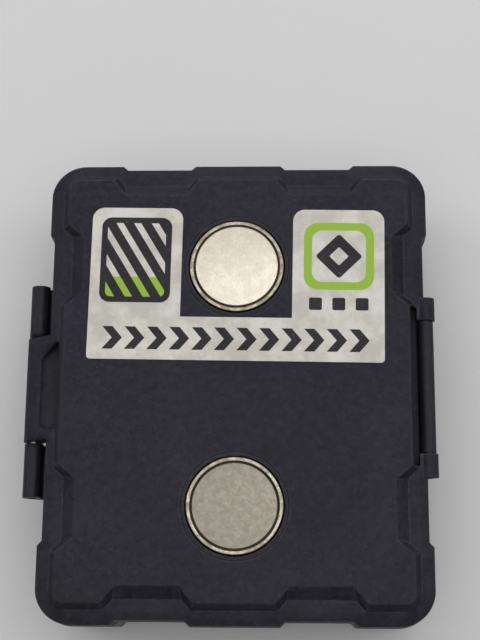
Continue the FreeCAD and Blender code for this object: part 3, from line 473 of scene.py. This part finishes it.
# Drawn wire of the pins: scale across, and the share of it along the pin.
pinFinish = {
    "tones": ((0.44, 0.44, 0.45), (0.60, 0.60, 0.61)), "toneRange": (0.35, 0.65),
    "rough": (0.24, 0.40), "roughRange": (0.3, 0.7), "lineScale": 900.0, "stretch": 0.03,
    "bump": 0.4, "depth": 0.00001,
}


def pinMaterial(name, look):
    # Noise drawn out along the pin's length drives tone, roughness and height.
    material, tree, shader = startMaterial(name)
    long = calcVector(tree, "MULTIPLY", objectPlace(tree), (1.0, look["stretch"], 1.0))
    lines = noise(tree, long, look["lineScale"], 4.0, 0.6)
    color = blendColor(tree, rise(tree, lines, *look["toneRange"]), *look["tones"])
    tree.links.new(color, shader.inputs["Base Color"])
    rough = rise(tree, lines, *look["roughRange"], *look["rough"])
    tree.links.new(rough, shader.inputs["Roughness"])
    shader.inputs["Metallic"].default_value = 1.0
    addBump(tree, shader, lines, look["bump"], look["depth"])
    return material


# Rubber of the seal and resin round the discs. The cloud is a number of times coarser.
rubberFinish = {
    "tones": ((0.012, 0.012, 0.013), (0.022, 0.022, 0.024)), "toneRange": (0.35, 0.65),
    "rough": (0.62, 0.82), "roughRange": (0.3, 0.7), "scale": 1500.0, "coarser": 12,
    "bump": 0.4, "depth": 0.00004,
}
resinFinish = dict(
    rubberFinish, tones=((0.020, 0.017, 0.013), (0.055, 0.045, 0.032)),
    rough=(0.30, 0.55), scale=1200.0)


def softMaterial(name, look):
    # A slow cloud mixes the two tones. Fine noise drives roughness and height.
    material, tree, shader = startMaterial(name)
    place = objectPlace(tree)
    cloud = noise(tree, place, look["scale"] / look["coarser"], 4.0)
    fine = noise(tree, place, look["scale"], 4.0)
    color = blendColor(tree, rise(tree, cloud, *look["toneRange"]), *look["tones"])
    tree.links.new(color, shader.inputs["Base Color"])
    rough = rise(tree, fine, *look["roughRange"], *look["rough"])
    tree.links.new(rough, shader.inputs["Roughness"])
    addBump(tree, shader, fine, look["bump"], look["depth"])
    return material


# Sticker: a plain pattern in millimetres from its middle. The middle itself is in metres.
sticker = {
    "middle": (0.0, 0.0237), "turn": -0.8,   # turn in degrees
    "half": 34.4, "top": 18.4, "gap": 13.0, "gapBottom": -8.1, "thickness": 0.12,
    "farRadius": 2.8, "smallRadius": 0.9, "gapRadius": 0.25, "base": 33.0,
    "cornerSteps": 12, "sharp": 40.0,
    # Colours of the film and of the two inks.
    "film": (0.60, 0.585, 0.535), "filmWorn": (0.46, 0.44, 0.39), "filmStain": (0.27, 0.22, 0.15),
    "ink": (0.010, 0.010, 0.012), "accent": (0.25, 0.42, 0.035),
    # Printed shapes: middle x and y, half width and height, corner radius, turn in degrees.
    "block": (-23.8, 5.6, 8.3, 10.4, 2.4), "blockInside": (-23.8, 5.6, 6.9, 9.0, 1.2),
    "blockFoot": (-23.8, -1.2, 8, 2.6, 0.1),
    "tile": (23.8, 7.0, 8.2, 8.2, 3.4), "tileInside": (23.8, 7.0, 6.3, 6.3, 2.4),
    "diamond": (23.8, 7.0, 3.9, 3.9, 0.7, 45), "diamondHole": (23.8, 7.0, 1.6, 1.6, 0.3, 45),
    "beads": [(x, -4.6, 1.5, 1.5, 0.45) for x in (18.4, 23.8, 29.2)],
    "row": (0, -13.3, 34.0, 2.7, 0.1),
    # Repeats: period, inked share of it, lean of the stripes and slope of the chevrons.
    "stripePeriod": 4.2, "stripeShare": 0.40, "stripeLean": 0.62,
    "chevronPeriod": 5.2, "chevronShare": 0.46, "chevronSlope": 0.85, "chevronShift": 1.15,
    "rowEnds": (31.1, 31.2), "repeatEdge": 0.012,
    # Noise on the film: scale, detail and roughness, the range where it takes hold, its amount.
    "patchNoise": (0.16, 6.0, 0.65), "patchRange": (0.36, 0.66),
    "speckNoise": (3.2, 4.0, 0.7), "speckRange": (0.54, 0.70), "speckAmount": 0.35,
    "stainNoise": (0.42, 5.0, 0.75), "stainRange": (0.63, 0.74), "stainAmount": 0.45,
    "rubNoise": (1.3, 5.0, 0.7), "rubRange": (0.60, 0.78), "rubbedInk": 0.45,
    "rough": (0.44, 0.56), "specular": 0.25, "bump": 0.25, "depth": 0.00003, "inkHeight": 0.3,
}


def stickerMaterial(look):
    # Ink = left block, diamond, beads and chevrons. Accent = tile's frame and the block's foot.
    # Both are rubbed by noise and lie on a film that is worn in patches and stained.
    material, tree, shader = startMaterial("printedFilm")
    local = addNode(tree, "ShaderNodeMapping", vector_type="TEXTURE")
    tree.links.new(objectPlace(tree), local.inputs["Vector"])
    local.inputs["Location"].default_value = (*look["middle"], 0)
    local.inputs["Rotation"].default_value = (0, 0, math.radians(look["turn"]))
    local.inputs["Scale"].default_value = (mm, mm, mm)
    place = local.outputs[0]
    split = addNode(tree, "ShaderNodeSeparateXYZ")
    tree.links.new(place, split.inputs[0])
    x, y = split.outputs["X"], split.outputs["Y"]

    def shape(x, y, halfX, halfY, corner, turn=0.0):
        return useGroup(tree, stickerShape, Place=place, Centre=(x, y, 0), Half=(halfX, halfY, 0),
                        Corner=corner, Turn=math.radians(turn))["Mask"]

    def repeated(value, period, share):
        # 1 on the inked share of each period, in its middle.
        part = calc(tree, "FRACT", calc(tree, "DIVIDE", value, period))
        offMiddle = calc(tree, "ABSOLUTE", calc(tree, "SUBTRACT", part, 0.5))
        return fall(tree, offMiddle, share / 2 - look["repeatEdge"], share / 2 + look["repeatEdge"])

    def both(first, second):
        return calc(tree, "MULTIPLY", first, second)

    def either(*masks):
        result = masks[0]
        for mask in masks[1:]:
            result = calc(tree, "MAXIMUM", result, mask)
        return result

    def without(first, second):
        return calc(tree, "MULTIPLY", first, calc(tree, "SUBTRACT", 1.0, second))

    slant = plus(tree, x, y, look["stripeLean"])
    stripes = both(repeated(slant, look["stripePeriod"], look["stripeShare"]),
                   shape(*look["blockInside"]))
    leftBlock = without(shape(*look["block"]), stripes)
    tileAccent = without(shape(*look["tile"]), shape(*look["tileInside"]))
    diamond = without(shape(*look["diamond"]), shape(*look["diamondHole"]))
    beads = either(*[shape(*bead) for bead in look["beads"]])
    fromRow = calc(tree, "ABSOLUTE", calc(tree, "ADD", y, -look["row"][1]))
    peak = calc(tree, "MULTIPLY", fromRow, look["chevronSlope"])
    leaning = calc(tree, "ADD", x, calc(tree, "SUBTRACT", peak, look["chevronShift"]))
    rowEnds = fall(tree, calc(tree, "ABSOLUTE", leaning), *look["rowEnds"])
    arrows = both(repeated(leaning, look["chevronPeriod"], look["chevronShare"]), rowEnds)
    chevrons = both(arrows, shape(*look["row"]))
    ink = either(leftBlock, diamond, beads, chevrons)
    blockFoot = both(shape(*look["block"]), both(stripes, shape(*look["blockFoot"])))
    accent = either(tileAccent, blockFoot)

    patch = rise(tree, noise(tree, place, *look["patchNoise"]), *look["patchRange"])
    speck = rise(tree, noise(tree, place, *look["speckNoise"]), *look["speckRange"])
    film = blendColor(tree, patch, look["filmWorn"], look["film"])
    specks = calc(tree, "MULTIPLY", speck, look["speckAmount"])
    film = blendColor(tree, specks, film, look["filmWorn"])
    cloud = noise(tree, place, *look["stainNoise"])
    stain = rise(tree, cloud, *look["stainRange"], 0.0, look["stainAmount"])
    film = blendColor(tree, stain, film, look["filmStain"])
    cloud = noise(tree, place, *look["rubNoise"])
    rubbed = rise(tree, cloud, *look["rubRange"], 1.0, look["rubbedInk"])
    inked = blendColor(tree, both(ink, rubbed), film, look["ink"])
    color = blendColor(tree, both(accent, rubbed), inked, look["accent"])
    tree.links.new(color, shader.inputs["Base Color"])
    low, high = look["rough"]
    tree.links.new(rise(tree, patch, 0.0, 1.0, high, low), shader.inputs["Roughness"])
    shader.inputs["Specular IOR Level"].default_value = look["specular"]
    height = plus(tree, patch, ink, look["inkHeight"])
    addBump(tree, shader, height, look["bump"], look["depth"])
    return material


finishes = {
    "cover_plastic": plasticMaterial("coverMoulding", coverFinish),
    "tray_plastic": plasticMaterial("trayMoulding", trayFinish),
    "lever_plastic": plasticMaterial("leverMoulding", leverFinish),
    "cup_nickel": metalMaterial("cupNickel", cupFinish),
    # Far and near discs: one nickel, the far one with painted light and the near one with painted
    # shade.
    "far_magnet_nickel": metalMaterial("farMagnetNickelPaintedLight", farDiscPaintedLightFinish),
    "near_magnet_nickel": metalMaterial("nearMagnetNickelPaintedShade", nearDiscPaintedShadeFinish),
    "screw_steel": metalMaterial("screwSteel", screwFinish),
    "pin_steel": pinMaterial("drawnSteel", pinFinish),
    "seal_rubber": softMaterial("sealRubber", rubberFinish),
    "bond_resin": softMaterial("bondResin", resinFinish),
    "label_film": stickerMaterial(sticker),
}
slotOf = {part["node"]: part["material_slot"] for part in frame["record"]["subparts"]}
print("materials ready:", len(finishes))


# Mesh helpers: whole arrays at once.
def roundedLoop(corners, radii, steps=6):
    # A closed outline whose corners are arcs: each arc touches both sides and turns about a centre
    # on the corner's bisector, at radius / sin(half the corner's angle).
    points = np.array(corners, float)
    parts = []
    for here, before, after, radius in zip(points, np.roll(points, 1, 0),
                                           np.roll(points, -1, 0), radii):
        if radius == 0:
            parts.append(here[None])
            continue
        first = (before - here) / np.linalg.norm(before - here)
        last = (after - here) / np.linalg.norm(after - here)
        half = math.acos(np.clip(first @ last, -1, 1)) / 2
        middle = (first + last) / np.linalg.norm(first + last)
        centre = here + middle * radius / math.sin(half)
        start = here + first * radius / math.tan(half) - centre
        stop = here + last * radius / math.tan(half) - centre
        angle = math.pi - 2 * half
        share = np.linspace(0, 1, steps)[:, None]
        arc = np.sin((1 - share) * angle) * start + np.sin(share * angle) * stop
        parts.append(centre + arc / math.sin(angle))
    return np.concatenate(parts)


def rectangle(left, low, right, high):
    # Its four corners, turning left.
    return [(left, low), (right, low), (right, high), (left, high)]


def gridMesh(name, points, closeFirst, closeLast, sharp=32.0):
    # Quads between neighbours of a grid of points; a closed direction joins its end to its start.
    rows, columns = points.shape[:2]
    index = np.arange(rows * columns).reshape(rows, columns)
    down = np.roll(index, -1, 0)
    if not closeFirst:
        index, down = index[:-1], down[:-1]
    right, downRight = np.roll(index, -1, 1), np.roll(down, -1, 1)
    if not closeLast:
        index, down, right, downRight = (part[:, :-1] for part in (index, down, right, downRight))
    faces = np.stack([index, right, downRight, down], -1).reshape(-1, 4)
    mesh = bpy.data.meshes.new(name)
    mesh.from_pydata(points.reshape(-1, 3).tolist(), [], faces.tolist())
    return tidyMesh(mesh, sharp)


def tidyMesh(mesh, sharp):
    # Doubles merged, normals outwards, smooth but for edges past the sharp angle in degrees.
    shape = bmesh.new()
    shape.from_mesh(mesh)
    bmesh.ops.remove_doubles(shape, verts=shape.verts, dist=1e-7)
    bmesh.ops.recalc_face_normals(shape, faces=shape.faces)
    shape.to_mesh(mesh)
    shape.free()
    mesh.shade_smooth()
    mesh.set_sharp_from_angle(angle=math.radians(sharp))
    return mesh


def placePiece(name, mesh, node, body):
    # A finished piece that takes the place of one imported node, on its body and with its slot.
    piece = addObject(name, mesh)
    mesh.materials.clear()
    mesh.materials.append(finishes[slotOf[node]])
    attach(piece, body)
    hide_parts(node)
    return piece


def lathe(name, profile, centre, steps=120, closed=True, along="Z"):
    # Each profile point (radius, height) goes once round the axis: centre + radius * (cos, sin),
    # with the height along the axis.
    turn = np.linspace(0, 2 * math.pi, steps, endpoint=False)
    radius, height = np.array(profile, float).T
    flatA = radius[:, None] * np.cos(turn)
    flatB = radius[:, None] * np.sin(turn)
    level = np.broadcast_to(height[:, None], flatA.shape)
    if along == "Z":
        points = np.stack([flatA + centre[0], flatB + centre[1], level], -1)
    else:
        points = np.stack([flatA + centre[0], level, flatB + centre[1]], -1)
    return gridMesh(name, points * mm, closed, True)


# Magnets, in millimetres: cup, disc, bond ring, washer and screw on one axis.
magnet = {
    "place": 28.0, "cupRadius": 11.0, "cupBottom": 27.8, "cupTop": 33.3, "cupWall": 0.9,
    "cupBase": 1.6, "threadRadius": 1.52, "footRound": 0.2, "cupRound": 0.3, "lipRound": 0.16,
    "discRadius": 9.65, "discRound": 0.22,
    "ringInner": 9.67, "ringOuter": 10.08, "ringTop": 32.8, "ringDip": 0.12,
    "washerRadius": 3.6, "washerHole": 1.7, "washerBottom": 25.8, "washerTop": 26.3,
    "washerRounds": (0.08, 0.15, 0.08, 0.08), "washerSteps": 72,
    "headRadius": 2.75, "headBottom": 24.1, "headBevel": 0.55, "headRings": 34, "screwSteps": 144,
    "shankRadius": 1.5, "shankTop": 29.2, "shankBevel": 0.3,
    "crossWidth": 0.7, "crossLength": 3.4, "crossDepth": 0.9, "crossEdge": 0.06,
}


def magnetPieces(side, look):
    # Profiles of cup, disc, bond ring and washer, each turned round the magnet's axis, and the
    # screw. The disc and the ring stand on the cup's floor = its bottom + its base.
    y = look["place"] if side == "far" else -look["place"]

    def turned(name, profile, node, steps=120):
        placePiece(f"{side}_{name}", lathe(f"{side}_{name}", profile, (0, y), steps),
                   f"{side}_{node}", "cover")

    outer, thread = look["cupRadius"], look["threadRadius"]
    inner = outer - look["cupWall"]
    bottom, top = look["cupBottom"], look["cupTop"]
    floor = bottom + look["cupBase"]
    cup = [(thread, bottom), (outer, bottom), (outer, top), (inner, top), (inner, floor),
           (thread, floor)]
    rounds = (0, look["footRound"], look["cupRound"], look["lipRound"], 0, 0)
    turned("pot_cup", roundedLoop(cup, rounds), "magnet_cup")

    disc = rectangle(0, floor, look["discRadius"], top)
    turned("disc", roundedLoop(disc, (0, 0, look["discRound"], 0)), "magnet_disc")

    inside, outside, level = look["ringInner"], look["ringOuter"], look["ringTop"]
    dip = ((inside + outside) / 2, level - look["ringDip"])
    ring = [(inside, floor), (outside, floor), (outside, level), dip, (inside, level)]
    turned("bond", ring, "bond_ring")

    washer = rectangle(look["washerHole"], look["washerBottom"],
                       look["washerRadius"], look["washerTop"])
    turned("flat_washer", roundedLoop(washer, look["washerRounds"]), "washer", look["washerSteps"])

    screw = f"{side}_screw"
    placePiece(screw, screwMesh(screw, y, look), f"{side}_magnet_screw", "cover")


def screwMesh(name, y, look):
    # A lathed screw whose head face sinks by the cross depth where a point lies in either arm
    # of the cross: half the width - |side|, and half the length - |other|, both above 0.
    head, shank = look["headRadius"], look["shankRadius"]
    bottom, seat, top = look["headBottom"], look["washerBottom"], look["shankTop"]
    bevel, tip, edge = look["headBevel"], look["shankBevel"], look["crossEdge"]
    face = np.linspace(0, head - bevel, look["headRings"])
    profile = [(radius, bottom) for radius in face]
    profile += [(head, bottom + bevel), (head, seat), (shank, seat), (shank, top - tip),
                (shank - tip, top), (0, top)]
    radius, height = np.array(profile).T
    turn = np.linspace(0, 2 * math.pi, look["screwSteps"], endpoint=False)
    x = radius[:, None] * np.cos(turn)
    z = np.repeat(height[:, None], len(turn), 1)
    across = radius[:, None] * np.sin(turn)
    arms = [np.clip((look["crossWidth"] / 2 - np.abs(side)) / edge, 0, 1)
            * np.clip((look["crossLength"] / 2 - np.abs(other)) / edge, 0, 1)
            for side, other in ((x, across), (across, x))]
    onFace = (np.arange(len(profile)) < len(face))[:, None]
    z = z + look["crossDepth"] * np.maximum(*arms) * onFace
    return gridMesh(name, np.stack([x, across + y, z], -1) * mm, False, True)


for side in ("far", "near"):
    magnetPieces(side, magnet)
print("magnets ready")


# Pins, in millimetres: axis place, radius and half length. Their ends are bevelled by a share of
# the radius.
pins = {
    "hinge_pin": {"name": "hinge_rod", "body": "tray", "axis": (-47.35, 24.0),
                  "radius": 1.0, "half": 24.7},
    "latch_pin": {"name": "latch_rod", "body": "cover", "axis": (44.05, 28.85),
                  "radius": 0.9, "half": 20.4},
}
pinBevel = 0.25
for node, pin in pins.items():
    radius, half = pin["radius"], pin["half"]
    bevel = radius * pinBevel
    rod = [(0, -half), (radius - bevel, -half), (radius, -half + bevel),
           (radius, half - bevel), (radius - bevel, half), (0, half)]
    mesh = lathe(pin["name"], rod, pin["axis"], steps=64, closed=False, along="Y")
    placePiece(pin["name"], mesh, node, pin["body"])


# Seal, in millimetres: a rounded strip laid round the cover's groove.
seal = {
    "halfX": 40.70, "halfY": 50.20, "corner": 7.1, "cornerSteps": 18,
    "width": 1.72, "height": 1.4, "bottom": 24.5, "round": 0.4, "roundSteps": 5,
}


def sealMesh(look):
    # The strip's section is carried along a rounded rectangle; each section stands square to the
    # path: point = path + outward * section x, height = bottom + half the height + section z.
    corners = [(look["halfX"], -look["halfY"]), (look["halfX"], look["halfY"]),
               (-look["halfX"], look["halfY"]), (-look["halfX"], -look["halfY"])]
    path = roundedLoop(corners, [look["corner"]] * 4, look["cornerSteps"])
    along = np.roll(path, -1, 0) - np.roll(path, 1, 0)
    along /= np.linalg.norm(along, axis=1)[:, None]
    outward = np.stack([along[:, 1], -along[:, 0]], -1)
    halfX, halfZ = look["width"] / 2, look["height"] / 2
    strip = rectangle(-halfX, -halfZ, halfX, halfZ)
    section = roundedLoop(strip, [look["round"]] * 4, look["roundSteps"])
    flat = path[:, None] + outward[:, None] * section[None, :, :1]
    level = np.broadcast_to(section[None, :, 1:] + look["bottom"] + halfZ, (*flat.shape[:2], 1))
    return gridMesh("rubber_seal", np.concatenate([flat, level], -1) * mm, True, True)


placePiece("rubber_seal", sealMesh(seal), "lid_seal", "cover")


def stickerMesh(look):
    # The U outline with rounded corners, turned about its middle, once at the face and once a
    # film's thickness above it.
    half, top, gap, floor = look["half"], look["top"], look["gap"], look["gapBottom"]
    big, small, inner = look["farRadius"], look["smallRadius"], look["gapRadius"]
    corners = [(half, -top), (half, top), (gap, top), (gap, floor),
               (-gap, floor), (-gap, top), (-half, top), (-half, -top)]
    radii = [small, big, big, inner, inner, big, big, small]
    outline = roundedLoop(corners, radii, look["cornerSteps"])
    turn = math.radians(look["turn"])
    spin = np.array([[math.cos(turn), math.sin(turn)], [-math.sin(turn), math.cos(turn)]])
    flat = outline @ spin + np.array(look["middle"]) / mm
    count = len(flat)
    levels = [look["base"], look["base"] + look["thickness"]]
    rings = [np.column_stack([flat, np.full(count, level)]) for level in levels]
    points = np.concatenate(rings) * mm
    here = np.arange(count)
    after = np.roll(here, -1)
    sides = np.stack([here, after, after + count, here + count], -1).tolist()
    faces = [here[::-1].tolist(), (here + count).tolist()] + sides
    mesh = bpy.data.meshes.new("printed_sticker")
    mesh.from_pydata(points.tolist(), [], faces)
    return tidyMesh(mesh, look["sharp"])


placePiece("printed_sticker", stickerMesh(sticker), "face_label", "cover")
print("pins, seal and sticker ready")


# Mouldings: a merged copy of each shell with its sharp edges broken. Width in millimetres.
mouldings = {
    "cover_shell": {"name": "moulded_cover", "body": "cover", "edge": 0.22},
    "tray_shell": {"name": "moulded_tray", "body": "tray", "edge": 0.22},
    "latch_lever": {"name": "moulded_lever", "body": "latch", "edge": 0.16},
}
# How a copy is made, for all three: merge distance in metres, angles in degrees.
copying = {"merge": 2e-6, "flatAngle": 0.4, "sharpAngle": 32, "bevelAngle": 34, "segments": 2}


def mouldedCopy(node, look, how):
    # Points closer than the merge distance become one, and faces flatter than the flat angle
    # join. The bevel breaks edges past its angle, and flat faces keep their own shading.
    mesh = frame["nodes"][node].data.copy()
    mesh.name = look["name"]
    shape = bmesh.new()
    shape.from_mesh(mesh)
    bmesh.ops.remove_doubles(shape, verts=shape.verts, dist=how["merge"])
    bmesh.ops.dissolve_limit(shape, angle_limit=math.radians(how["flatAngle"]),
                             verts=shape.verts, edges=shape.edges)
    shape.to_mesh(mesh)
    shape.free()
    mesh.shade_smooth()
    mesh.set_sharp_from_angle(angle=math.radians(how["sharpAngle"]))
    piece = placePiece(look["name"], mesh, node, look["body"])
    bevel = piece.modifiers.new("brokenEdges", "BEVEL")
    bevel.width = look["edge"] * mm
    bevel.segments = how["segments"]
    bevel.limit_method = "ANGLE"
    bevel.angle_limit = math.radians(how["bevelAngle"])
    bevel.use_clamp_overlap = True
    flatten = piece.modifiers.new("flatFaces", "WEIGHTED_NORMAL")
    flatten.keep_sharp = True
    print(look["name"], len(mesh.vertices), "points", len(mesh.polygons), "faces")


for node, look in mouldings.items():
    mouldedCopy(node, look, copying)


# Studio, in metres and watts: a pale floor, a dim room, a wide soft lamp overhead, two soft
# windows past the far end and one at each side.
studio = {
    "floorTone": (0.60, 0.598, 0.60), "floorShade": 0.96, "floorCloud": 9.0, "floorRough": 0.8,
    "floorHalf": 3.0, "floorHeight": -0.0001,
    "roomTone": (0.83, 0.83, 0.86), "roomStrength": 0.16, "aim": (0, 0, 0.02),
    "lamps": {
        "highWindow": {"place": (0.06, 0.62, 1.15), "size": (1.6, 1.2), "power": 5.6},
        "ceiling": {"place": (0.05, -0.22, 1.30), "size": (1.7, 1.4), "power": 10.5},
        "lowWindow": {"place": (0.0, 1.0, 0.34), "size": (0.9, 0.3), "power": 2.8},
        "leftWindow": {"place": (-0.9, 0.25, 0.6), "size": (0.5, 0.5), "power": 2.2},
        "rightWindow": {"place": (0.9, 0.15, 0.6), "size": (0.5, 0.5), "power": 2.0},
    },
}


def makeStudio(look):
    # Floor's colour = its tone, between floorShade of it and all of it by a slow cloud. Each lamp
    # is a rectangle that faces the aim: direction = aim - place.
    mesh = bpy.data.meshes.new("studioFloor")
    half, height = look["floorHalf"], look["floorHeight"]
    corners = [(x, y, height) for x, y in rectangle(-half, -half, half, half)]
    mesh.from_pydata(corners, [], [(0, 1, 2, 3)])
    floor = addObject("studioFloor", mesh)
    material, tree, shader = startMaterial("floorPaper")
    cloud = noise(tree, objectPlace(tree), look["floorCloud"])
    shade = tuple(value * look["floorShade"] for value in look["floorTone"])
    tree.links.new(blendColor(tree, cloud, shade, look["floorTone"]), shader.inputs["Base Color"])
    shader.inputs["Roughness"].default_value = look["floorRough"]
    mesh.materials.append(material)
    world = bpy.data.worlds.new("studioRoom")
    bpy.context.scene.world = world
    world.use_nodes = True
    back = world.node_tree.nodes["Background"]
    back.inputs["Color"].default_value = (*look["roomTone"], 1)
    back.inputs["Strength"].default_value = look["roomStrength"]
    for name, given in look["lamps"].items():
        lamp = bpy.data.lights.new(name, "AREA")
        lamp.shape = "RECTANGLE"
        lamp.size, lamp.size_y = given["size"]
        lamp.energy = given["power"]
        window = addObject(name, lamp)
        window.location = given["place"]
        direction = Vector(look["aim"]) - Vector(given["place"])
        window.rotation_euler = direction.to_track_quat("-Z", "Y").to_euler()


makeStudio(studio)
bpy.context.scene.view_settings.view_transform = "Standard"
print("studio ready")
